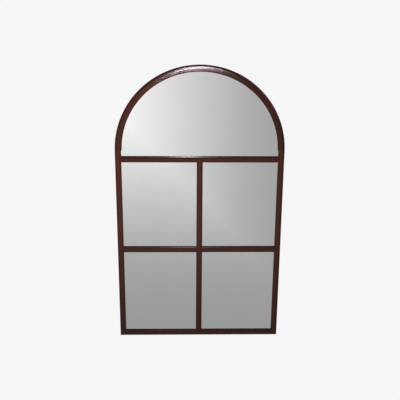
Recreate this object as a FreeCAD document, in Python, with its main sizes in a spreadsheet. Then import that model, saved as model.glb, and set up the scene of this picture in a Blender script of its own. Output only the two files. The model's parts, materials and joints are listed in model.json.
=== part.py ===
"""Arched garden mirror in the form of a window with five panes.

X runs to the viewer's right, Y runs into the wall and Z runs up, in millimetres. The origin lies on the
wall's face, midway between the entry holes of the two keyhole hangers. Heights named in the sheet are
measured from the bottom edge of the frame.
"""
import FreeCAD, Part
import math
import os
import Sketcher
from types import SimpleNamespace

# Driving sizes: millimetres, and degrees for the angle
SIZES = (
    # Frame outline and the bars inside it
    ("overall_width", "700"),
    ("overall_height", "1200"),
    ("transom_drop", "37.5"),
    ("corner_radius", "4"),
    # Section shared by all bars: a crowned cap in front of a stem, wider towards the pane on the arch
    ("bar_width", "25"),
    ("arch_bar_width", "28"),
    ("cap_land", "2"),
    ("cap_rise", "7"),
    ("stem_width", "10"),
    ("nose_half_width", "1"),
    ("wall_gap", "6"),
    # Panes, from front to back
    ("tape_thickness", "0.9"),
    ("tape_setback", "1"),
    ("glass_thickness", "4"),
    ("board_gap", "0.1"),
    ("board_thickness", "3"),
    ("pane_clearance", "1"),
    ("board_clearance", "2"),
    # Dowels that join the bars
    ("dowel_radius", "2"),
    ("dowel_grip", "14"),
    ("dowel_clearance", "0.05"),
    # Turn buttons that hold the boards
    ("button_width", "9"),
    ("button_reach", "19"),
    ("button_thickness", "1.5"),
    ("button_gap", "0.1"),
    ("button_bore_clearance", "0.08"),
    ("haunch_angle", "40"),
    # Pan-head screws
    ("screw_radius", "2"),
    ("screw_length", "8"),
    ("screw_clearance", "0.05"),
    ("screw_head_radius", "4"),
    ("screw_head_height", "2.4"),
    ("screw_head_rounding", "1.2"),
    ("screw_slot_width", "1"),
    ("screw_slot_depth", "1"),
    # Keyhole hangers and wall bumpers
    ("hanger_drop", "82.5"),
    ("hanger_sheet", "1.5"),
    ("hanger_width", "14"),
    ("hanger_foot", "11"),
    ("keyhole_entry_radius", "4.5"),
    ("keyhole_slot_radius", "2.5"),
    ("keyhole_travel", "11"),
    ("keyhole_margin", "4"),
    ("bumper_inset", "77.5"),
    ("bumper_tip_radius", "4"),
    # How far a cut runs past the faces it opens
    ("cut_margin", "1"),
)


# Points nearer than this are one point
TOUCHING = 1e-6


class Size:
    """A size that carries both its number and its formula over the sheet's cells."""

    def __init__(self, value, formula):
        self.value = value
        self.formula = formula

    def __add__(self, other):
        other = as_size(other)
        return Size(self.value + other.value, f"({self.formula} + {other.formula})")

    def __sub__(self, other):
        other = as_size(other)
        return Size(self.value - other.value, f"({self.formula} - {other.formula})")

    def __mul__(self, other):
        other = as_size(other)
        return Size(self.value * other.value, f"({self.formula} * {other.formula})")

    def __truediv__(self, other):
        other = as_size(other)
        return Size(self.value / other.value, f"({self.formula} / {other.formula})")

    def __neg__(self):
        return Size(-self.value, f"(-1 * {self.formula})")


def as_size(number):
    return number if isinstance(number, Size) else Size(float(number), f"({number})")


def cosine(angle):
    return Size(math.cos(math.radians(angle.value)), f"cos({angle.formula})")


def sine(angle):
    return Size(math.sin(math.radians(angle.value)), f"sin({angle.formula})")


document = FreeCAD.newDocument("ArchedGardenMirror")
sheet = document.addObject("Spreadsheet::Sheet", "Sizes")
for row, (alias, number) in enumerate(SIZES, start=1):
    sheet.set(f"A{row}", number)
    sheet.setAlias(f"A{row}", alias)
document.recompute()
size = SimpleNamespace(
    **{alias: Size(float(sheet.get(alias)), f"Sizes.{alias}") for alias, _ in SIZES}
)

# Sizes that follow from the driving ones
ZERO = as_size(0)
half_width = size.overall_width / 2
half_bar = size.bar_width / 2
half_stem = size.stem_width / 2
leg_axis = half_width - half_bar
spring_height = size.overall_height - half_width
bottom_axis = half_bar
# The transom crosses just below the spring of the arch, and the mid-rail halves the space under it
transom_axis = spring_height - size.transom_drop
mid_rail_axis = (transom_axis + bottom_axis) / 2
upper_muntin_span = transom_axis - mid_rail_axis
lower_muntin_span = mid_rail_axis - bottom_axis
hanger_height = transom_axis - size.hanger_drop
bumper_axis = leg_axis - size.bumper_inset
tape_width = half_bar - half_stem - size.pane_clearance - size.tape_setback
glazing_depth = size.tape_thickness + size.glass_thickness
stem_depth = glazing_depth + size.board_gap + size.board_thickness
stem_back = -size.wall_gap
stem_middle = stem_back - stem_depth / 2
cap_back = stem_back - stem_depth
cap_edge = cap_back - size.cap_land
cap_front = cap_edge - size.cap_rise
glass_front = cap_back + size.tape_thickness
board_front = cap_back + glazing_depth + size.board_gap
button_front = stem_back + size.button_gap
button_back = button_front + size.button_thickness
screw_hole_radius = size.screw_radius + size.screw_clearance
dowel_hole_radius = size.dowel_radius + size.dowel_clearance
# From each outer face to the middle of a rounded corner, where its mitre ends
corner_inset = size.corner_radius * (1 - math.sqrt(0.5))


# Sketches and features

def new_body(label):
    body = document.addObject("PartDesign::Body", label)
    body.Label = label
    return body


def place(thing, x, z, turn=ZERO, y=ZERO):
    """Set a piece at a height above the bottom edge, turned about Y, and tie the place to the sheet."""
    thing.Placement = FreeCAD.Placement(
        FreeCAD.Vector(0, 0, 0), FreeCAD.Rotation(FreeCAD.Vector(0, 1, 0), turn.value)
    )
    if turn.value:
        axis_sign = 1 if thing.Placement.Rotation.Axis.y > 0 else -1
        thing.setExpression("Placement.Rotation.Angle", (turn * axis_sign).formula)
    thing.setExpression("Placement.Base.x", x.formula)
    thing.setExpression("Placement.Base.y", y.formula)
    thing.setExpression("Placement.Base.z", (z - hanger_height).formula)


def new_sketch(body, name, plane_role, offset=ZERO):
    """An empty sketch on one of the body's planes, moved along the plane's normal."""
    plane = next(item for item in body.Origin.OriginFeatures if item.Role == plane_role)
    sketch = body.newObject("Sketcher::SketchObject", f"{body.Name}_{name}")
    sketch.AttachmentSupport = (plane, "")
    sketch.MapMode = "FlatFace"
    sketch.setExpression("AttachmentOffset.Base.z", offset.formula)
    return sketch


def facing_sketch(body, name, depth=ZERO):
    """A sketch seen from the front: its axes are X and Z, and it lies at Y = depth."""
    return new_sketch(body, name, "XZ_Plane", -depth)


def bind(sketch, kind, edge, point, length):
    """Hold one coordinate of a point, counted from the sketch's origin, at a size."""
    constraint = Sketcher.Constraint(kind, -1, 1, edge, point, length.value)
    index = sketch.addConstraint(constraint)
    sketch.setExpression(f"Constraints[{index}]", length.formula)


def arc_middle(start, end, centre_kind, centre_length):
    """The point halfway along the arc from start to end, whose centre has one coordinate given."""
    chord = end - start
    reach = (end.dot(end) - start.dot(start)) / 2
    if centre_kind == "DistanceX":
        u = centre_length.value
        v = (reach - chord.x * u) / chord.y
    else:
        v = centre_length.value
        u = (reach - chord.y * v) / chord.x
    centre = FreeCAD.Vector(u, v, 0)
    way = (start + end) * 0.5 - centre
    if way.Length < TOUCHING:
        way = FreeCAD.Vector(chord.y, -chord.x, 0)
    return centre + way.normalize() * (start - centre).Length


def draw_outline(sketch, corners, arcs=None):
    """A closed outline through the corners. An arc replaces the edge after the corner that it is keyed by.

    An arc is given as one coordinate of its centre; its corners settle the rest.
    """
    arcs = arcs or {}
    points = [FreeCAD.Vector(u.value, v.value, 0) for u, v in corners]
    edges = []
    for index, start in enumerate(points):
        end = points[(index + 1) % len(points)]
        if index in arcs:
            curve = Part.Arc(start, arc_middle(start, end, *arcs[index]), end)
        else:
            curve = Part.LineSegment(start, end)
        edge = sketch.addGeometry(curve)
        runs_forward = sketch.getPoint(edge, 1).distanceToPoint(start) < TOUCHING
        edges.append((edge, 1, 2) if runs_forward else (edge, 2, 1))
    for index, (edge, _, end_point) in enumerate(edges):
        next_edge, next_start, _ = edges[(index + 1) % len(edges)]
        sketch.addConstraint(
            Sketcher.Constraint("Coincident", edge, end_point, next_edge, next_start)
        )
    for (edge, start_point, _), (u, v) in zip(edges, corners):
        bind(sketch, "DistanceX", edge, start_point, u)
        bind(sketch, "DistanceY", edge, start_point, v)
    for index, (centre_kind, centre_length) in arcs.items():
        bind(sketch, centre_kind, edges[index][0], 3, centre_length)


def draw_circle(sketch, u, v, radius):
    middle = FreeCAD.Vector(u.value, v.value, 0)
    normal = FreeCAD.Vector(0, 0, 1)
    edge = sketch.addGeometry(Part.Circle(middle, normal, radius.value))
    bind(sketch, "DistanceX", edge, 3, u)
    bind(sketch, "DistanceY", edge, 3, v)
    index = sketch.addConstraint(Sketcher.Constraint("Radius", edge, radius.value))
    sketch.setExpression(f"Constraints[{index}]", radius.formula)


def pad(body, sketch, length, symmetric=False, backwards=False):
    feature = body.newObject("PartDesign::Pad", f"{sketch.Name}_pad")
    feature.Profile = sketch
    feature.setExpression("Length", length.formula)
    feature.SideType = "Symmetric" if symmetric else "One side"
    feature.Reversed = backwards
    document.recompute()
    return feature


def revolve(body, sketch, degrees):
    """Turn a sketch about its own vertical axis."""
    feature = body.newObject("PartDesign::Revolution", f"{sketch.Name}_revolution")
    feature.Profile = sketch
    feature.ReferenceAxis = (sketch, ["V_Axis"])
    feature.Angle = degrees
    document.recompute()
    return feature


def pocket(body, sketch, depth=None, along_normal=True, both_ways=False):
    """Cut a sketch to a depth, or through all, and stop if nothing was cut."""
    before = body.Shape.Volume
    feature = body.newObject("PartDesign::Pocket", f"{sketch.Name}_pocket")
    feature.Profile = sketch
    feature.Reversed = along_normal
    if both_ways:
        feature.SideType = "Symmetric"
    if depth is None:
        feature.Type = "ThroughAll"
    else:
        feature.setExpression("Length", depth.formula)
    document.recompute()
    if body.Shape.Volume >= before:
        raise RuntimeError(f"{feature.Name} cuts nothing from {body.Label}")
    return feature


# Bars

def section(axis, before=half_bar, after=half_bar):
    """Corners of a bar section as (across, depth), and the arc of its crowned cap.

    The stem stands on the axis, and the cap reaches some way before the axis and some way after it.
    """
    low = axis - before
    high = axis + after
    half_cap = (before + after) / 2
    crown_radius = (half_cap * half_cap + size.cap_rise * size.cap_rise) / (size.cap_rise * 2)
    corners = [
        (axis - half_stem, stem_back),
        (axis + half_stem, stem_back),
        (axis + half_stem, cap_back),
        (high, cap_back),
        (high, cap_edge),
        (low, cap_edge),
        (low, cap_back),
        (axis - half_stem, cap_back),
    ]
    return corners, {4: cap_front + crown_radius}


def draw_upright_section(sketch, *reaches):
    corners, arcs = section(*reaches)
    arcs = {index: ("DistanceY", centre) for index, centre in arcs.items()}
    draw_outline(sketch, corners, arcs)


def draw_level_section(sketch):
    corners, arcs = section(ZERO)
    arcs = {index: ("DistanceX", centre) for index, centre in arcs.items()}
    draw_outline(sketch, [(depth, across) for across, depth in corners], arcs)


def drill_screw_holes(body, places):
    """Blind holes in the back of the stem."""
    sketch = facing_sketch(body, "screw_holes", stem_back)
    for x, z in places:
        draw_circle(sketch, x, z, screw_hole_radius)
    pocket(body, sketch, size.screw_length)


def drill_end_dowel_holes(body, stem_end):
    """Holes along the bar from both ends of its stem."""
    for side, name in ((1, "right"), (-1, "left")):
        hole_floor = (stem_end - size.dowel_grip) * side
        sketch = new_sketch(body, f"{name}_dowel_hole", "YZ_Plane", hole_floor)
        draw_circle(sketch, stem_middle, ZERO, dowel_hole_radius)
        pocket(body, sketch, along_normal=side > 0)


def drill_cross_dowel_hole(body):
    """A hole across the stem at the middle of the bar, for the muntin that meets it there."""
    sketch = new_sketch(body, "cross_dowel_hole", "XY_Plane")
    draw_circle(sketch, ZERO, stem_middle, dowel_hole_radius)
    pocket(body, sketch, both_ways=True)


def cut_muntin_notches(body, ways):
    """Mitred notches in the cap at the middle of the bar, above it, below it or both."""
    sketch = facing_sketch(body, "muntin_notches", cap_back)
    wide = half_bar + size.cut_margin
    for way in ways:
        draw_outline(
            sketch,
            [
                (-size.nose_half_width, size.nose_half_width * way),
                (size.nose_half_width, size.nose_half_width * way),
                (wide, wide * way),
                (-wide, wide * way),
            ],
        )
    pocket(body, sketch)


def arch_hoop(screw_places):
    """The half-round bar, which stands on the legs and is dowelled to them."""
    body = new_body("arch_hoop")
    profile = new_sketch(body, "section", "XY_Plane", spring_height)
    draw_upright_section(profile, -leg_axis, half_bar, size.arch_bar_width - half_bar)
    revolve(body, profile, 180)
    dowels = new_sketch(body, "dowel_holes", "XY_Plane", spring_height)
    for side in (-1, 1):
        draw_circle(dowels, leg_axis * side, stem_middle, dowel_hole_radius)
    pocket(body, dowels, size.dowel_grip)
    drill_screw_holes(body, screw_places)
    place(body, ZERO, ZERO)
    return body


def leg(label, side, screw_places):
    """An upright bar under one end of the arch, mitred at its foot."""
    body = new_body(label)
    profile = new_sketch(body, "section", "XY_Plane")
    draw_upright_section(profile, leg_axis * side)
    pad(body, profile, spring_height)

    margin = size.cut_margin
    foot = facing_sketch(body, "foot_mitre")
    draw_outline(
        foot,
        [
            ((half_width - size.bar_width - margin) * side, size.bar_width + margin),
            ((half_width - corner_inset) * side, corner_inset),
            (half_width * side, size.corner_radius),
            ((half_width + margin) * side, size.corner_radius),
            ((half_width + margin) * side, -margin),
            ((half_width - size.bar_width - margin) * side, -margin),
        ],
        {1: ("DistanceY", size.corner_radius)},
    )
    pocket(body, foot, both_ways=True)

    notches = facing_sketch(body, "rail_notches", cap_back)
    wide = half_bar + margin
    for height in (mid_rail_axis, transom_axis):
        draw_outline(
            notches,
            [
                ((leg_axis - size.nose_half_width) * side, height - size.nose_half_width),
                ((leg_axis - size.nose_half_width) * side, height + size.nose_half_width),
                ((leg_axis - wide) * side, height + wide),
                ((leg_axis - wide) * side, height - wide),
            ],
        )
    pocket(body, notches)

    rail_dowels = new_sketch(body, "rail_dowel_holes", "YZ_Plane")
    for height in (bottom_axis, mid_rail_axis, transom_axis):
        draw_circle(rail_dowels, stem_middle, height, dowel_hole_radius)
    pocket(body, rail_dowels, both_ways=True)
    arch_dowel = new_sketch(body, "arch_dowel_hole", "XY_Plane", spring_height - size.dowel_grip)
    draw_circle(arch_dowel, leg_axis * side, stem_middle, dowel_hole_radius)
    pocket(body, arch_dowel)
    drill_screw_holes(body, screw_places)
    place(body, ZERO, ZERO)
    return body


def bottom_rail(screw_places):
    """The bar under the lower panes, mitred to the legs at both ends."""
    body = new_body("bottom_rail")
    profile = new_sketch(body, "section", "YZ_Plane")
    draw_level_section(profile)
    pad(body, profile, size.overall_width, symmetric=True)

    margin = size.cut_margin
    ends = facing_sketch(body, "end_mitres")
    for side in (-1, 1):
        draw_outline(
            ends,
            [
                ((half_width - corner_inset) * side, corner_inset - half_bar),
                ((half_width - size.bar_width - margin) * side, half_bar + margin),
                ((half_width + margin) * side, half_bar + margin),
                ((half_width + margin) * side, -half_bar - margin),
                ((half_width - size.corner_radius) * side, -half_bar - margin),
                ((half_width - size.corner_radius) * side, -half_bar),
            ],
            {5: ("DistanceY", size.corner_radius - half_bar)},
        )
    pocket(body, ends, both_ways=True)
    cut_muntin_notches(body, (1,))
    drill_end_dowel_holes(body, leg_axis - half_stem)
    drill_cross_dowel_hole(body)
    drill_screw_holes(body, screw_places)
    place(body, ZERO, bottom_axis)
    return body


def inner_bar(label, span, x, z, turn, screw_places, notch_ways=()):
    """A bar between two others whose axes lie a span apart.

    Its cap ends in mitred noses that fill notches in their caps, and its stem butts against theirs.
    """
    body = new_body(label)
    profile = new_sketch(body, "section", "YZ_Plane")
    draw_level_section(profile)
    pad(body, profile, span - size.nose_half_width * 2, symmetric=True)

    margin = size.cut_margin
    tip = span / 2 - size.nose_half_width
    shoulder = span / 2 - half_bar - margin
    noses = facing_sketch(body, "noses")
    for side in (-1, 1):
        for way in (-1, 1):
            draw_outline(
                noses,
                [
                    (tip * side, size.nose_half_width * way),
                    (shoulder * side, (half_bar + margin) * way),
                    ((tip + margin) * side, (half_bar + margin) * way),
                    ((tip + margin) * side, size.nose_half_width * way),
                ],
            )
    pocket(body, noses, both_ways=True)

    stem_end = span / 2 - half_stem
    setbacks = facing_sketch(body, "stem_setbacks", cap_back)
    for side in (-1, 1):
        draw_outline(
            setbacks,
            [
                (stem_end * side, -half_stem - margin),
                ((span / 2) * side, -half_stem - margin),
                ((span / 2) * side, half_stem + margin),
                (stem_end * side, half_stem + margin),
            ],
        )
    pocket(body, setbacks, along_normal=False)

    drill_end_dowel_holes(body, stem_end)
    if notch_ways:
        cut_muntin_notches(body, notch_ways)
        drill_cross_dowel_hole(body)
    drill_screw_holes(body, screw_places)
    place(body, x, z, turn)
    return body


# Panes: glazing tape, mirror glass and backing board in each opening of the frame

def rectangle_opening(left, right, bottom, top):
    """Corners of an opening between stems, drawn in by a gap at its sides and top and another below."""

    def corners(gap, bottom_gap=ZERO):
        outline = [
            (left + gap, bottom + bottom_gap),
            (right - gap, bottom + bottom_gap),
            (right - gap, top - gap),
            (left + gap, top - gap),
        ]
        return outline, {}

    return corners


def arch_opening(half, bottom):
    """The same for the half-round opening above the transom."""

    def corners(gap, bottom_gap=ZERO):
        outline = [
            (gap - half, bottom + bottom_gap),
            (half - gap, bottom + bottom_gap),
            (half - gap, spring_height),
            (gap - half, spring_height),
        ]
        return outline, {2: ("DistanceY", spring_height)}

    return corners


def sheet_piece(label, front, thickness, opening, gap, band=None):
    """A flat piece that rests on the lower stem of its opening. A band leaves only a ring of that width."""
    body = new_body(label)
    sketch = facing_sketch(body, "outline", front)
    draw_outline(sketch, *opening(gap))
    if band is not None:
        draw_outline(sketch, *opening(gap + band, band))
    pad(body, sketch, thickness, backwards=True)
    place(body, ZERO, ZERO)
    return body


def glazed_opening(name, opening):
    return [
        sheet_piece(
            f"{name}_tape", cap_back, size.tape_thickness, opening, size.pane_clearance, tape_width
        ),
        sheet_piece(
            f"{name}_mirror", glass_front, size.glass_thickness, opening, size.pane_clearance
        ),
        sheet_piece(
            f"{name}_board", board_front, size.board_thickness, opening, size.board_clearance
        ),
    ]


# Hardware on the back

def turn_button(label, x, z, turn, arms):
    """A plate with one arm or two that swivels on its screw and holds a board in."""
    body = new_body(label)
    sketch = facing_sketch(body, "outline", button_front)
    end = size.button_width / 2
    reach = size.button_reach - end
    tail = -reach if arms == 2 else ZERO
    draw_outline(
        sketch,
        [(tail, -end), (reach, -end), (reach, end), (tail, end)],
        {1: ("DistanceX", reach), 3: ("DistanceX", tail)},
    )
    draw_circle(sketch, ZERO, ZERO, size.screw_radius + size.button_bore_clearance)
    pad(body, sketch, size.button_thickness, backwards=True)
    place(body, x, z, turn)
    return body


def screw_pattern():
    """A slotted pan-head screw along Y, with the underside of its head at the origin."""
    body = new_body("screw_pattern")
    sketch = new_sketch(body, "half_section", "XY_Plane")
    flat = size.screw_head_height - size.screw_head_rounding
    draw_outline(
        sketch,
        [
            (ZERO, -size.screw_length),
            (size.screw_radius, -size.screw_length),
            (size.screw_radius, ZERO),
            (size.screw_head_radius, ZERO),
            (size.screw_head_radius, flat),
            (size.screw_head_radius - size.screw_head_rounding, size.screw_head_height),
            (ZERO, size.screw_head_height),
        ],
        {4: ("DistanceY", flat)},
    )
    revolve(body, sketch, 360)
    slot = facing_sketch(body, "slot", size.screw_head_height)
    half_slot = size.screw_slot_width / 2
    slot_end = size.screw_head_radius + size.cut_margin
    draw_outline(
        slot,
        [(-slot_end, -half_slot), (slot_end, -half_slot), (slot_end, half_slot), (-slot_end, half_slot)],
    )
    pocket(body, slot, size.screw_slot_depth)
    return body


def screw_group(label, pattern, places, head_depth):
    """Copies of one screw, with the undersides of their heads at Y = head_depth."""
    screws = []
    for number, (x, z) in enumerate(places, start=1):
        screw = document.addObject("App::Link", f"{label}_{number}")
        screw.LinkedObject = pattern
        place(screw, x, z, y=head_depth)
        screws.append(screw)
    group = document.addObject("Part::Compound", label)
    group.Label = label
    group.Links = screws
    return group


def hanger_levels():
    """Heights on a hanger, counted from the middle of its entry hole."""
    rise = size.wall_gap - size.hanger_sheet
    low = -size.keyhole_entry_radius - size.keyhole_margin
    high = size.keyhole_travel + size.keyhole_slot_radius + size.keyhole_margin
    return SimpleNamespace(
        rise=rise,
        plate_low=low,
        plate_high=high,
        foot_low=low - rise - size.hanger_foot,
        foot_high=high + rise + size.hanger_foot,
        screw_low=low - rise - size.hanger_foot / 2,
        screw_high=high + rise + size.hanger_foot / 2,
    )


def keyhole_hanger(label, side):
    """A strip bent to stand off the stem, with a keyhole that drops over a wall screw."""
    level = hanger_levels()
    bend = size.hanger_sheet * (math.sqrt(2) - 1)
    foot_back = -level.rise
    body = new_body(label)
    strip = new_sketch(body, "strip", "YZ_Plane")
    draw_outline(
        strip,
        [
            (ZERO, level.plate_low),
            (ZERO, level.plate_high),
            (foot_back, level.plate_high + level.rise),
            (foot_back, level.foot_high),
            (stem_back, level.foot_high),
            (stem_back, level.plate_high + level.rise - bend),
            (-size.hanger_sheet, level.plate_high - bend),
            (-size.hanger_sheet, level.plate_low + bend),
            (stem_back, level.plate_low - level.rise + bend),
            (stem_back, level.foot_low),
            (foot_back, level.foot_low),
            (foot_back, level.plate_low - level.rise),
        ],
    )
    pad(body, strip, size.hanger_width, symmetric=True)

    entry = facing_sketch(body, "keyhole_entry")
    draw_circle(entry, ZERO, ZERO, size.keyhole_entry_radius)
    pocket(body, entry)
    slot = facing_sketch(body, "keyhole_slot")
    edge = size.keyhole_slot_radius
    draw_outline(
        slot,
        [(-edge, ZERO), (edge, ZERO), (edge, size.keyhole_travel), (-edge, size.keyhole_travel)],
        {2: ("DistanceY", size.keyhole_travel)},
    )
    pocket(body, slot)
    holes = facing_sketch(body, "foot_holes")
    for height in (level.screw_low, level.screw_high):
        draw_circle(holes, ZERO, height, screw_hole_radius)
    pocket(body, holes)
    place(body, leg_axis * side, hanger_height)
    return body


def wall_bumper(label, side):
    """A rubber stud on the bottom rail that keeps the frame upright against the wall."""
    bumper = document.addObject("Part::Cone", label)
    bumper.Label = label
    bumper.setExpression("Radius1", half_stem.formula)
    bumper.setExpression("Radius2", size.bumper_tip_radius.formula)
    bumper.setExpression("Height", size.wall_gap.formula)
    bumper.Placement.Rotation = FreeCAD.Rotation(FreeCAD.Vector(1, 0, 0), -90)
    bumper.setExpression("Placement.Base.x", (bumper_axis * side).formula)
    bumper.setExpression("Placement.Base.y", stem_back.formula)
    bumper.setExpression("Placement.Base.z", (bottom_axis - hanger_height).formula)
    return bumper


def frame_dowels():
    """Dowels that pin the bars together.

    Those of the level bars and muntins are driven in flush from the outer face of a stem, and those
    under the arch are shut in.
    """
    short = size.stem_width + size.dowel_grip
    hidden = size.dowel_grip * 2
    through = size.stem_width + size.dowel_grip * 2
    along_x = FreeCAD.Rotation(FreeCAD.Vector(0, 1, 0), 90)
    along_z = FreeCAD.Rotation()
    legs_outside = leg_axis + half_stem
    legs_inside = leg_axis - half_stem - size.dowel_grip
    places = []
    for height in (bottom_axis, mid_rail_axis, transom_axis):
        places.append((-legs_outside, height, short, along_x))
        places.append((legs_inside, height, short, along_x))
    for side in (-1, 1):
        places.append((leg_axis * side, spring_height - size.dowel_grip, hidden, along_z))
    places.append((ZERO, bottom_axis - half_stem, short, along_z))
    places.append((ZERO, mid_rail_axis - through / 2, through, along_z))
    places.append((ZERO, transom_axis + half_stem - short, short, along_z))

    dowels = []
    for number, (x, z, length, rotation) in enumerate(places, start=1):
        dowel = document.addObject("Part::Cylinder", f"dowel_{number}")
        dowel.setExpression("Radius", size.dowel_radius.formula)
        dowel.setExpression("Height", length.formula)
        dowel.Placement.Rotation = rotation
        dowel.setExpression("Placement.Base.x", x.formula)
        dowel.setExpression("Placement.Base.y", stem_middle.formula)
        dowel.setExpression("Placement.Base.z", (z - hanger_height).formula)
        dowels.append(dowel)
    group = document.addObject("Part::Compound", "frame_dowels")
    group.Label = "frame_dowels"
    group.Links = dowels
    return group


# Where the turn buttons sit: label, bar, place, turn of the first arm about Y and number of arms
pane_middle = leg_axis / 2
upper_middle = (transom_axis + mid_rail_axis) / 2
lower_middle = (mid_rail_axis + bottom_axis) / 2
haunch_x = leg_axis * cosine(size.haunch_angle)
haunch_z = spring_height + leg_axis * sine(size.haunch_angle)
RIGHT, UP, DOWN, LEFT = as_size(0), as_size(-90), as_size(90), as_size(180)
BUTTONS = (
    ("crown_button", "arch_hoop", ZERO, spring_height + leg_axis, DOWN, 1),
    ("left_haunch_button", "arch_hoop", -haunch_x, haunch_z, size.haunch_angle, 1),
    ("right_haunch_button", "arch_hoop", haunch_x, haunch_z, LEFT - size.haunch_angle, 1),
    ("upper_left_leg_button", "left_leg", -leg_axis, upper_middle, RIGHT, 1),
    ("upper_right_leg_button", "right_leg", leg_axis, upper_middle, LEFT, 1),
    ("lower_left_leg_button", "left_leg", -leg_axis, lower_middle, RIGHT, 1),
    ("lower_right_leg_button", "right_leg", leg_axis, lower_middle, LEFT, 1),
    ("bottom_left_button", "bottom_rail", -pane_middle, bottom_axis, UP, 1),
    ("bottom_right_button", "bottom_rail", pane_middle, bottom_axis, UP, 1),
    ("transom_left_button", "transom", -pane_middle, transom_axis, UP, 2),
    ("transom_right_button", "transom", pane_middle, transom_axis, UP, 2),
    ("mid_rail_left_button", "mid_rail", -pane_middle, mid_rail_axis, UP, 2),
    ("mid_rail_right_button", "mid_rail", pane_middle, mid_rail_axis, UP, 2),
    ("upper_muntin_button", "upper_muntin", ZERO, upper_middle, RIGHT, 2),
    ("lower_muntin_button", "lower_muntin", ZERO, lower_middle, RIGHT, 2),
)


def screws_on(bar):
    return [(x, z) for _, carrier, x, z, _, _ in BUTTONS if carrier == bar]


def hanger_screws_on(side):
    level = hanger_levels()
    return [(leg_axis * side, hanger_height + height) for height in (level.screw_low, level.screw_high)]


# The assembly
level_screws = [(-pane_middle, ZERO), (pane_middle, ZERO)]
middle_screw = [(ZERO, ZERO)]
pieces = [
    arch_hoop(screws_on("arch_hoop")),
    leg("left_leg", -1, screws_on("left_leg") + hanger_screws_on(-1)),
    leg("right_leg", 1, screws_on("right_leg") + hanger_screws_on(1)),
    bottom_rail(level_screws),
    inner_bar("transom", leg_axis * 2, ZERO, transom_axis, ZERO, level_screws, (-1,)),
    inner_bar("mid_rail", leg_axis * 2, ZERO, mid_rail_axis, ZERO, level_screws, (-1, 1)),
    inner_bar("upper_muntin", upper_muntin_span, ZERO, upper_middle, UP, middle_screw),
    inner_bar("lower_muntin", lower_muntin_span, ZERO, lower_middle, UP, middle_screw),
]

outer_stem = leg_axis - half_stem
upper_edges = (mid_rail_axis + half_stem, transom_axis - half_stem)
lower_edges = (bottom_axis + half_stem, mid_rail_axis - half_stem)
OPENINGS = {
    "arch": arch_opening(outer_stem, transom_axis + half_stem),
    "upper_left": rectangle_opening(-outer_stem, -half_stem, *upper_edges),
    "upper_right": rectangle_opening(half_stem, outer_stem, *upper_edges),
    "lower_left": rectangle_opening(-outer_stem, -half_stem, *lower_edges),
    "lower_right": rectangle_opening(half_stem, outer_stem, *lower_edges),
}
for name, opening in OPENINGS.items():
    pieces += glazed_opening(name, opening)

for label, _, x, z, turn, arms in BUTTONS:
    pieces.append(turn_button(label, x, z, turn, arms))
screw = screw_pattern()
button_screw_places = [(x, z) for _, _, x, z, _, _ in BUTTONS]
hanger_screw_places = hanger_screws_on(-1) + hanger_screws_on(1)
pieces += [
    screw_group("button_screws", screw, button_screw_places, button_back + size.button_gap),
    screw_group("hanger_screws", screw, hanger_screw_places, stem_back + size.hanger_sheet),
    keyhole_hanger("left_hanger", -1),
    keyhole_hanger("right_hanger", 1),
    wall_bumper("left_bumper", -1),
    wall_bumper("right_bumper", 1),
    frame_dowels(),
]

document.recompute()
for item in document.Objects:
    if "Invalid" in item.State or "Error" in item.State:
        raise RuntimeError(f"{item.Label} did not build: {item.State}")
for piece in pieces:
    if piece.Shape.isNull() or not piece.Shape.isValid():
        raise RuntimeError(f"{piece.Label} has no valid shape")

os.makedirs("parts", exist_ok=True)
for piece in pieces:
    piece.Shape.exportStep(f"parts/{piece.Label}.step")
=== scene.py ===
"""Arched garden mirror: materials, light, floor and camera around the CAD frame.

Metres, in the CAD frame: X runs to the viewer's right, Y runs into the wall and Z runs up.
"""

import json
import math

import bpy
from mathutils import Matrix, Vector


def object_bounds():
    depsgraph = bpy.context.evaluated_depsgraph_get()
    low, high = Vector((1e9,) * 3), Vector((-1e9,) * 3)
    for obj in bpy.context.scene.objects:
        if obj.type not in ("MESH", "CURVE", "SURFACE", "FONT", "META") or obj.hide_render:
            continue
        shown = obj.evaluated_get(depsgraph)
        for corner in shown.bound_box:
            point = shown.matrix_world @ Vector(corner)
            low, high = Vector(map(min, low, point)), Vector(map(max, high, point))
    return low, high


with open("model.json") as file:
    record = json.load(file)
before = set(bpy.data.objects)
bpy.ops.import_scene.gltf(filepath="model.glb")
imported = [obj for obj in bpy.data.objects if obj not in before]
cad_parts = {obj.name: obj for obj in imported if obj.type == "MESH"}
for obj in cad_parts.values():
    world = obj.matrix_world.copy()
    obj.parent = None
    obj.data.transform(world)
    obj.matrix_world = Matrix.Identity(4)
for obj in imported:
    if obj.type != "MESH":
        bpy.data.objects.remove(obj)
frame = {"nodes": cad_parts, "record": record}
cad_low, cad_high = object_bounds()
nodes = frame["nodes"]

# Camera: where it stands from the middle of the frame's bottom edge, and how it is turned
CAMERA_OFFSET = Vector((-0.0604, -2.698, 1.4971))
CAMERA_PITCH = math.radians(17.775)
CAMERA_YAW = math.radians(-1.331)
CAMERA_ROLL = math.radians(0.413)
CAMERA_FOCAL_PIXELS = 668.43
IMAGE_PIXELS = 400
SENSOR_MM = 36.0

# Noise: the range that most of its values fall in
NOISE_LOW, NOISE_HIGH = 0.3, 0.7

# Paint: its colours from brown to red-brown, how much darker the coat of the arch and the level bars is
# # made as painted shade against the other bars', and the range of its roughness
PAINT_COLOURS = (
    (0.46, (0.058, 0.0222, 0.0152)),
    (0.62, (0.068, 0.0212, 0.0138)),
    (0.78, (0.077, 0.0205, 0.0126)),
)
LEVEL_BARS = ("transom", "mid_rail", "bottom_rail")
SHADED_BARS = ("arch_hoop", *LEVEL_BARS)
PAINTED_SHADE = 0.82
PAINT_ROUGH_LOW, PAINT_ROUGH_HIGH = 0.23, 0.25

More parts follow.
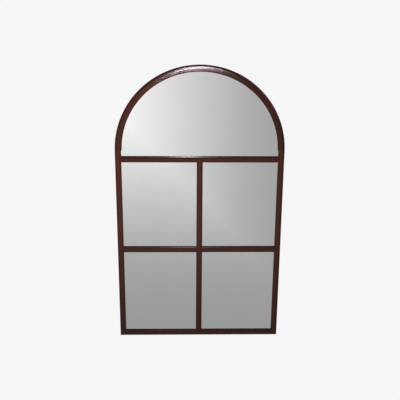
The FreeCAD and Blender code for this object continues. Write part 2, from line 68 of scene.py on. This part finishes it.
# Panes: how far a face is turned to the back to be silvered, and the dark seal along the edges of
# the silvering, which lies near the axes of the bars
BACK_FACING = 0.9
SEAL_COLOUR = (0.02, 0.021, 0.022)
SEAL_REACH = 0.0078
HALF_BAR = 0.0125
LEG_AXIS = cad_high.x - HALF_BAR
BOTTOM_AXIS = cad_low.z + HALF_BAR
LEVEL_SPACING = 0.4
TRANSOM_AXIS = BOTTOM_AXIS + 2 * LEVEL_SPACING
SPRING_HEIGHT = cad_high.z - cad_high.x

# Room: display tones from 0 to 1 of what the panes reflect, by the slope of the ray across and up
SIDE_TONE, SIDE_FALL, SIDE_FLOOR, SIDE_BLEND = 0.818, -1.525, 0.632, 0.1
RISE_TONE, RISE_GAIN, RISE_FLOOR, RISE_BLEND = 1.248, 1.494, 0.588, 0.294
BRIGHTEST = 0.95
TONE_BLEND = 0.015
DISPLAY_GAMMA = 2.2
PANE_LOSS = 1.08

# Room: the least forward part of a ray in those slopes, the parts aside, aloft and behind between
# which the room turns dim or white, and the strengths of the white, the dim and the fill light
LEAST_AHEAD = 0.8
ASIDE_START, ASIDE_END = 0.3, 0.75
ALOFT_START, ALOFT_END = 0.05, 0.5
BEHIND_START, BEHIND_END = 0.45, 0.75
BACKGROUND_LEVEL = 0.922
DIM_LEVEL = 0.22
FILL_LEVEL = 0.25

# Soft lamp in front of the mirror
SOFT_LAMP_PLACE = Vector((-0.2, -0.85, -0.05))
SOFT_LAMP_AIM = Vector((-0.12, 0, 0.02))
SOFT_LAMP_WIDTH, SOFT_LAMP_HEIGHT = 1.0, 0.3
SOFT_LAMP_WATTS = 7.4

# Soft boxes that put the gloss on the crown of the arch: degrees above it, metres to the right of
# it, width, height, degrees of spread and watts
CROWN = Vector((-0.035, -0.02, 0.456))
CROWN_LAMPS = (
    (-48, 0.08, 0.16, 0.35, 24, 0.45),
    (-6, -0.01, 0.12, 0.15, 30, 1.02),
    (26, 0.03, 0.3, 0.3, 24, 2.5),
)
CROWN_LAMP_DISTANCE = 0.8
GLOSS_COLOUR = (0.91, 0.88, 1.0)

# Soft lamp inside the arch that lights its left half
ARCH_LAMP_PLACE = Vector((0.06, -0.3, 0.26))
ARCH_LAMP_AIM = Vector((-0.22, -0.01, 0.36))
ARCH_LAMP_SIDE = 0.2
ARCH_LAMP_SPREAD = 80
ARCH_LAMP_WATTS = 0.22

# Soft box beside the arch that puts a faint gloss on its right rim
RIM_LAMP_PLACE = Vector((0.9, -0.3, 0.7))
RIM_LAMP_AIM = Vector((0.25, 0, 0.345))
RIM_LAMP_SIDE = 0.9
RIM_LAMP_SPREAD = 60
RIM_LAMP_WATTS = 1.0

# Small lamp overhead that puts short glints on the level bars
GLINT_PLACE = Vector((-0.05, -0.05, 0.9))
GLINT_RADIUS = 0.02
GLINT_WATTS = 75.0

# Floor under the hung mirror: it is solid up to a share of its radius and fades out from there
FLOOR_DROP = 0.8
FLOOR_RADIUS = 1.05
FLOOR_SOLID_SHARE = 0.6
FLOOR_CORNERS = 128
FLOOR_CENTRE_Y = -0.4
FLOOR_GLOW = 0.6


# Node trees

def fill(tree, inputs, values):
    """Set inputs to numbers and colours, or link them to the outputs of other nodes."""
    for key, value in values.items():
        if isinstance(value, bpy.types.NodeSocket):
            tree.links.new(value, inputs[key])
        else:
            inputs[key].default_value = value


def add_node(tree, kind, inputs=None, **settings):
    """A new node with its settings made and its inputs filled."""
    node = tree.nodes.new(kind)
    for name, value in settings.items():
        setattr(node, name, value)
    fill(tree, node.inputs, inputs or {})
    return node


def calculate(tree, operation, *values):
    inputs = dict(enumerate(values))
    return add_node(tree, "ShaderNodeMath", inputs, operation=operation).outputs["Value"]


def weighted_sum(tree, *terms):
    """The sum of numbers that are each given with a weight."""
    total = 0.0
    for value, weight in terms:
        total = calculate(tree, "MULTIPLY_ADD", value, weight, total)
    return total


def remap(tree, value, low, high, new_low=0.0, new_high=1.0, smooth=False):
    inputs = {"Value": value, 1: low, 2: high, 3: new_low, 4: new_high}
    kind = "SMOOTHSTEP" if smooth else "LINEAR"
    return add_node(tree, "ShaderNodeMapRange", inputs, interpolation_type=kind).outputs["Result"]


def vary(tree, value, low, high):
    """A noise brought to a range."""
    return remap(tree, value, NOISE_LOW, NOISE_HIGH, low, high)


def blend(tree, factor, low, high):
    """A number between low and high."""
    inputs = {"Factor": factor, "A": low, "B": high}
    return add_node(tree, "ShaderNodeMix", inputs, data_type="FLOAT").outputs["Result"]


def vector_length(tree, vector):
    return add_node(tree, "ShaderNodeVectorMath", {0: vector}, operation="LENGTH").outputs["Value"]


def object_place(tree, stretch=(1.0, 1.0, 1.0)):
    """The place on the piece in metres, stretched for textures with a grain."""
    place = add_node(tree, "ShaderNodeTexCoord").outputs["Object"]
    return add_node(tree, "ShaderNodeMapping", {"Vector": place, "Scale": stretch}).outputs["Vector"]


def noise(tree, place, scale, detail=3.0, roughness=0.55):
    inputs = {"Vector": place, "Scale": scale, "Detail": detail, "Roughness": roughness}
    return add_node(tree, "ShaderNodeTexNoise", inputs).outputs["Fac"]


def colour_ramp(tree, factor, *stops):
    """A blend of colours, each stop a place from 0 to 1 and a linear RGB colour."""
    ramp = add_node(tree, "ShaderNodeValToRGB", {"Fac": factor})
    elements = ramp.color_ramp.elements
    for element, (place, colour) in zip(elements, (stops[0], stops[-1])):
        element.position = place
        element.color = (*colour, 1.0)
    for place, colour in stops[1:-1]:
        elements.new(place).color = (*colour, 1.0)
    return ramp.outputs["Color"]


def noise_colour(tree, factor, low, high):
    """A blend of two colours over the range of a noise."""
    return colour_ramp(tree, factor, (NOISE_LOW, low), (NOISE_HIGH, high))


def bump(tree, height, depth, strength, normal=None):
    inputs = {"Height": height, "Distance": depth, "Strength": strength}
    if normal is not None:
        inputs["Normal"] = normal
    return add_node(tree, "ShaderNodeBump", inputs).outputs["Normal"]


def soft_edges(tree, radius):
    """A normal that rounds the edges of the piece."""
    return add_node(tree, "ShaderNodeBevel", {"Radius": radius}, samples=6).outputs["Normal"]


def direct_ray(tree, ray):
    """1 for what is seen, mirrored or looked at through glass, and 0 for what only gives light."""
    mirrored = calculate(tree, "MAXIMUM", ray["Is Glossy Ray"], ray["Is Transmission Ray"])
    return calculate(tree, "MAXIMUM", ray["Is Camera Ray"], mirrored)


def new_material(name):
    """A material with a node tree that holds only its output and a principled shader."""
    material = bpy.data.materials.new(name)
    material.use_nodes = True
    tree = material.node_tree
    tree.nodes.clear()
    shader = add_node(tree, "ShaderNodeBsdfPrincipled")
    add_node(tree, "ShaderNodeOutputMaterial", {"Surface": shader.outputs["BSDF"]})
    return material, tree, shader.inputs


# Materials

def frame_paint(name, shade):
    """Glossy brown paint over metal: red-brown with browner stretches and a faint orange peel."""
    material, tree, shader = new_material(name)
    place = object_place(tree)
    tone = noise(tree, place, scale=7.0)
    speckle = noise(tree, place, scale=260.0, detail=2.0)
    mixed = weighted_sum(tree, (tone, 1.0), (speckle, 0.25))
    # A shade below 1 darkens every colour: the painted shade on the arch and the level bars
    stops = [(at, [channel * shade for channel in colour]) for at, colour in PAINT_COLOURS]
    patches = noise(tree, place, scale=55.0)
    peel = noise(tree, place, scale=900.0, detail=1.0)
    rounded = soft_edges(tree, radius=0.0006)
    finish = {
        "Base Color": colour_ramp(tree, mixed, *stops),
        "Roughness": vary(tree, patches, PAINT_ROUGH_LOW, PAINT_ROUGH_HIGH),
        "Normal": bump(tree, peel, depth=0.000006, strength=0.5, normal=rounded),
        "Specular IOR Level": 0.1,
    }
    fill(tree, shader, finish)
    return material


def pane_glass():
    """Clear float glass with the faintest waves."""
    material, tree, shader = new_material("pane_glass")
    place = object_place(tree)
    tint = noise(tree, place, scale=3.0)
    waves = noise(tree, place, scale=5.0, detail=1.0)
    finish = {
        "Base Color": noise_colour(tree, tint, low=(0.985, 0.99, 0.987), high=(0.995, 0.997, 0.996)),
        "Normal": bump(tree, waves, depth=0.0001, strength=0.3),
        "Roughness": 0.0,
        "IOR": 1.52,
        "Transmission Weight": 1.0,
    }
    fill(tree, shader, finish)
    return material


def unsealed(tree, place):
    """1 on a pane's back, and 0 on the sealed strip near a bar's axis."""
    x, _, z = add_node(tree, "ShaderNodeSeparateXYZ", {"Vector": place}).outputs
    rise = calculate(tree, "MAXIMUM", calculate(tree, "SUBTRACT", z, SPRING_HEIGHT), 0.0)
    spoke = add_node(tree, "ShaderNodeCombineXYZ", {"X": x, "Z": rise}).outputs["Vector"]
    from_outer = calculate(tree, "SUBTRACT", LEG_AXIS, vector_length(tree, spoke))
    above_bottom = calculate(tree, "SUBTRACT", z, BOTTOM_AXIS)
    from_level = calculate(tree, "PINGPONG", above_bottom, LEVEL_SPACING / 2)
    in_arch = calculate(tree, "GREATER_THAN", z, TRANSOM_AXIS)
    from_upright = calculate(tree, "ADD", calculate(tree, "ABSOLUTE", x), in_arch)
    nearest = calculate(tree, "MINIMUM", from_outer, from_level)
    nearest = calculate(tree, "MINIMUM", nearest, from_upright)
    return calculate(tree, "GREATER_THAN", nearest, SEAL_REACH)


def pane_silver():
    """The silvering on the back of the glass, a little uneven, with a dark seal along its edges."""
    material, tree, shader = new_material("pane_silver")
    place = object_place(tree)
    dull = (0.93, 0.935, 0.935)
    bright = (0.95, 0.952, 0.952)
    tone = calculate(tree, "MULTIPLY", noise(tree, place, scale=14.0), unsealed(tree, place))
    stops = ((0.05, SEAL_COLOUR), (0.1, dull), (NOISE_LOW, dull), (NOISE_HIGH, bright))
    finish = {
        "Base Color": colour_ramp(tree, tone, *stops),
        "Roughness": 0.0,
        "Metallic": 1.0,
    }
    fill(tree, shader, finish)
    return material


def foam_tape():
    """Black closed-cell foam."""
    material, tree, shader = new_material("foam_tape")
    cells = noise(tree, object_place(tree), scale=1500.0, detail=2.0)
    finish = {
        "Base Color": noise_colour(tree, cells, low=(0.015, 0.015, 0.016), high=(0.035, 0.035, 0.036)),
        "Normal": bump(tree, cells, depth=0.0002, strength=0.6),
        "Roughness": 0.9,
    }
    fill(tree, shader, finish)
    return material


def hardboard():
    """Pressed wood fibre with the print of the press's mesh on its back."""
    material, tree, shader = new_material("hardboard")
    place = object_place(tree)
    grain = object_place(tree, stretch=(1.0, 1.0, 5.0))
    fibres = noise(tree, grain, scale=220.0, detail=6.0, roughness=0.7)
    blotches = noise(tree, place, scale=11.0, detail=4.0)
    mixed = weighted_sum(tree, (blotches, 0.5), (fibres, 0.6))
    stops = (
        (0.36, (0.105, 0.055, 0.026)),
        (0.55, (0.17, 0.093, 0.045)),
        (0.76, (0.25, 0.15, 0.08)),
    )
    wires = {"Vector": place, "Scale": 300.0}
    across = add_node(tree, "ShaderNodeTexWave", wires, bands_direction="X").outputs["Fac"]
    upright = add_node(tree, "ShaderNodeTexWave", wires, bands_direction="Z").outputs["Fac"]
    mesh_print = weighted_sum(tree, (fibres, 0.8), (across, upright))
    finish = {
        "Base Color": colour_ramp(tree, mixed, *stops),
        "Roughness": vary(tree, fibres, low=0.72, high=0.9),
        "Normal": bump(tree, mesh_print, depth=0.00025, strength=0.7),
    }
    fill(tree, shader, finish)
    return material


def plated_steel(name, bright, dull):
    """Zinc-plated steel: drawn streaks, a faint spangle and duller patches."""
    material, tree, shader = new_material(name)
    drawn = object_place(tree, stretch=(1.0, 12.0, 12.0))
    streaks = noise(tree, drawn, scale=130.0, detail=4.0)
    spangle = noise(tree, object_place(tree), scale=420.0, detail=2.0)
    mixed = weighted_sum(tree, (streaks, 0.6), (spangle, 0.4))
    rounded = soft_edges(tree, radius=0.0003)
    finish = {
        "Base Color": colour_ramp(tree, mixed, (0.35, dull), (0.65, bright)),
        "Roughness": vary(tree, mixed, low=0.24, high=0.42),
        "Normal": bump(tree, streaks, depth=0.00002, strength=0.6, normal=rounded),
        "Metallic": 1.0,
    }
    fill(tree, shader, finish)
    return material


def bumper_rubber():
    """Black moulded rubber with a dusty bloom."""
    material, tree, shader = new_material("bumper_rubber")
    place = object_place(tree)
    grain = noise(tree, place, scale=900.0)
    bloom = noise(tree, place, scale=120.0)
    stops = ((0.35, (0.012, 0.012, 0.012)), (0.75, (0.04, 0.039, 0.037)))
    rounded = soft_edges(tree, radius=0.0006)
    finish = {
        "Base Color": colour_ramp(tree, bloom, *stops),
        "Roughness": vary(tree, bloom, low=0.55, high=0.8),
        "Normal": bump(tree, grain, depth=0.0001, strength=0.5, normal=rounded),
    }
    fill(tree, shader, finish)
    return material


def dress_nodes():
    """Give every CAD node the materials of its slot, and the backs of the panes the silver."""
    finishes = {
        "frame_bars": [frame_paint("frame_paint", shade=1.0)],
        "mirror_glass": [pane_glass(), pane_silver()],
        "glazing_tape": [foam_tape()],
        "backing_board": [hardboard()],
        "plated_steel": [plated_steel("zinc_plate", bright=(0.66, 0.66, 0.64), dull=(0.46, 0.46, 0.44))],
        "dowel_steel": [plated_steel("dowel_steel", bright=(0.58, 0.58, 0.58), dull=(0.4, 0.4, 0.4))],
        "bumper_rubber": [bumper_rubber()],
    }
    # The arch and the level bars get a darker copy of the same paint, which is painted shade and not a
    # different coat
    shaded_paint = frame_paint("frame_paint_painted_shade", PAINTED_SHADE)
    for part in frame["record"]["subparts"]:
        mesh = nodes[part["node"]].data
        mesh.materials.clear()
        for finish in finishes[part["material_slot"]]:
            mesh.materials.append(finish)
        if part["node"] in SHADED_BARS:
            mesh.materials[0] = shaded_paint
        if part["material_slot"] == "mirror_glass":
            for polygon in mesh.polygons:
                polygon.material_index = int(polygon.normal.y > BACK_FACING)


# Room, lamps and floor

def room_greys(tree, x, y, z):
    """What the panes reflect: greys that fade to the right and down, and are dim aside and aloft."""
    ahead = calculate(tree, "MAXIMUM", calculate(tree, "MULTIPLY", y, -1.0), LEAST_AHEAD)
    across = calculate(tree, "DIVIDE", x, ahead)
    rise = calculate(tree, "DIVIDE", z, ahead)
    side_tone = calculate(tree, "MULTIPLY_ADD", across, SIDE_FALL, SIDE_TONE)
    side_tone = calculate(tree, "SMOOTH_MAX", side_tone, SIDE_FLOOR, SIDE_BLEND)
    rise_tone = calculate(tree, "MULTIPLY_ADD", rise, RISE_GAIN, RISE_TONE)
    rise_tone = calculate(tree, "SMOOTH_MAX", rise_tone, RISE_FLOOR, RISE_BLEND)
    tone = calculate(tree, "SMOOTH_MIN", side_tone, rise_tone, TONE_BLEND)
    tone = calculate(tree, "MINIMUM", tone, BRIGHTEST)
    room = calculate(tree, "MULTIPLY", calculate(tree, "POWER", tone, DISPLAY_GAMMA), PANE_LOSS)
    aside = remap(tree, calculate(tree, "ABSOLUTE", x), ASIDE_START, ASIDE_END, smooth=True)
    aloft = remap(tree, z, ALOFT_START, ALOFT_END, smooth=True)
    return blend(tree, calculate(tree, "MAXIMUM", aside, aloft), room, DIM_LEVEL)


def studio_world():
    """A soft room: white behind the mirror, and greys in front of it for the panes to reflect.

    The camera sees white all round, and the white wall lights the back.
    """
    world = bpy.data.worlds.new("studio")
    world.use_nodes = True
    tree = world.node_tree
    tree.nodes.clear()
    way = add_node(tree, "ShaderNodeTexCoord").outputs["Generated"]
    x, y, z = add_node(tree, "ShaderNodeSeparateXYZ", {"Vector": way}).outputs
    ray = add_node(tree, "ShaderNodeLightPath").outputs
    behind = remap(tree, y, BEHIND_START, BEHIND_END, smooth=True)
    white = calculate(tree, "MAXIMUM", behind, ray["Is Camera Ray"])
    seen = blend(tree, white, room_greys(tree, x, y, z), BACKGROUND_LEVEL)
    light = blend(tree, behind, FILL_LEVEL, BACKGROUND_LEVEL)
    level = blend(tree, direct_ray(tree, ray), light, seen)
    background = add_node(tree, "ShaderNodeBackground", {"Color": (1, 1, 1, 1), "Strength": level})
    add_node(tree, "ShaderNodeOutputWorld", {"Surface": background.outputs["Background"]})
    bpy.context.scene.world = world


def add_lamp(name, kind, place, watts):
    lamp = bpy.data.lights.new(name, kind)
    lamp.energy = watts
    holder = bpy.data.objects.new(name, lamp)
    holder.location = place
    bpy.context.scene.collection.objects.link(holder)
    return holder


def area_lamp(name, place, aim, width, height, watts):
    """A rectangular lamp that faces a point."""
    holder = add_lamp(name, "AREA", place, watts)
    holder.rotation_euler = (aim - place).to_track_quat("-Z", "Y").to_euler()
    holder.data.shape = "RECTANGLE"
    holder.data.size = width
    holder.data.size_y = height
    return holder


def narrow_lamp(name, place, aim, width, height, watts, spread):
    """A rectangular lamp whose light spreads by some degrees only."""
    holder = area_lamp(name, place, aim, width, height, watts)
    holder.data.spread = math.radians(spread)
    return holder


def light_only(holder, *names):
    """Let a lamp reach these nodes only."""
    receivers = bpy.data.collections.new(f"{holder.name}_receivers")
    for name in names:
        receivers.objects.link(nodes[name])
    holder.light_linking.receiver_collection = receivers


def shine_on(holder, *names):
    """Let a lamp put gloss on these nodes only."""
    light_only(holder, *names)
    holder.visible_diffuse = False


def soft_lamp():
    """A soft lamp that lights the frame from the middle outwards and leaves no glint."""
    size = (SOFT_LAMP_WIDTH, SOFT_LAMP_HEIGHT)
    holder = area_lamp("soft_lamp", SOFT_LAMP_PLACE, SOFT_LAMP_AIM, *size, SOFT_LAMP_WATTS)
    holder.visible_glossy = False
    holder.visible_transmission = False


def crown_lamps():
    """Gloss on the crown of the arch."""
    for degrees, shift, width, height, spread, watts in CROWN_LAMPS:
        angle = math.radians(degrees)
        reach = Vector((0, -math.cos(angle), math.sin(angle))) * CROWN_LAMP_DISTANCE
        place = CROWN + reach + Vector((shift, 0, 0))
        holder = narrow_lamp(f"crown_lamp_{degrees}", place, CROWN, width, height, watts, spread)
        holder.data.color = GLOSS_COLOUR
        shine_on(holder, "arch_hoop")


def arch_lamp():
    """A soft lamp inside the arch that lights its left half and leaves no glint."""
    size = (ARCH_LAMP_SIDE, ARCH_LAMP_SIDE)
    power = (ARCH_LAMP_WATTS, ARCH_LAMP_SPREAD)
    holder = narrow_lamp("arch_lamp", ARCH_LAMP_PLACE, ARCH_LAMP_AIM, *size, *power)
    light_only(holder, "arch_hoop")
    holder.visible_glossy = False


def rim_lamp():
    """A faint gloss on the right rim of the arch."""
    size = (RIM_LAMP_SIDE, RIM_LAMP_SIDE)
    power = (RIM_LAMP_WATTS, RIM_LAMP_SPREAD)
    holder = narrow_lamp("rim_lamp", RIM_LAMP_PLACE, RIM_LAMP_AIM, *size, *power)
    holder.data.color = GLOSS_COLOUR
    shine_on(holder, "arch_hoop")


def rail_glints():
    """Short glints along the upper edges of the level bars."""
    holder = add_lamp("rail_glints", "POINT", GLINT_PLACE, GLINT_WATTS)
    holder.data.shadow_soft_size = GLINT_RADIUS
    shine_on(holder, *LEVEL_BARS)


def pale_floor():
    """A pale round floor well below the mirror, which fades out at its rim."""
    place = (0, FLOOR_CENTRE_Y, cad_low.z - FLOOR_DROP)
    bpy.ops.mesh.primitive_circle_add(
        vertices=FLOOR_CORNERS, radius=FLOOR_RADIUS, fill_type="NGON", location=place
    )
    floor = bpy.context.object
    floor.name = "floor"
    material, tree, shader = new_material("pale_floor")
    where = object_place(tree)
    tone = noise(tree, where, scale=2.0)
    radius = vector_length(tree, where)
    fade_start = FLOOR_RADIUS * FLOOR_SOLID_SHARE
    direct = direct_ray(tree, add_node(tree, "ShaderNodeLightPath").outputs)
    finish = {
        "Base Color": noise_colour(tree, tone, low=(0.8, 0.8, 0.8), high=(0.84, 0.84, 0.84)),
        "Alpha": remap(tree, radius, fade_start, FLOOR_RADIUS, 1.0, 0.0, smooth=True),
        "Emission Color": (1, 1, 1, 1),
        "Emission Strength": calculate(tree, "MULTIPLY", direct, FLOOR_GLOW),
        "Roughness": 0.8,
    }
    fill(tree, shader, finish)
    floor.data.materials.append(material)


def photo_camera():
    """The camera at the photograph's viewing point."""
    level = Matrix(((1, 0, 0), (0, 0, -1), (0, 1, 0)))
    turn = Matrix.Rotation(CAMERA_ROLL, 3, "Z") @ Matrix.Rotation(CAMERA_PITCH, 3, "X")
    right, down, ahead = turn @ Matrix.Rotation(CAMERA_YAW, 3, "Y") @ level
    data = bpy.data.cameras.new("camera")
    data.sensor_width = SENSOR_MM
    data.lens = CAMERA_FOCAL_PIXELS / IMAGE_PIXELS * SENSOR_MM
    camera = bpy.data.objects.new("camera", data)
    axes = Matrix((right, -down, -ahead)).transposed()
    place = CAMERA_OFFSET + Vector((0, 0, cad_low.z))
    camera.matrix_world = Matrix.Translation(place) @ axes.to_4x4()
    bpy.context.scene.collection.objects.link(camera)
    bpy.context.scene.camera = camera


dress_nodes()
studio_world()
soft_lamp()
crown_lamps()
arch_lamp()
rim_lamp()
rail_glints()
pale_floor()
photo_camera()
bpy.context.scene.view_settings.view_transform = "Standard"
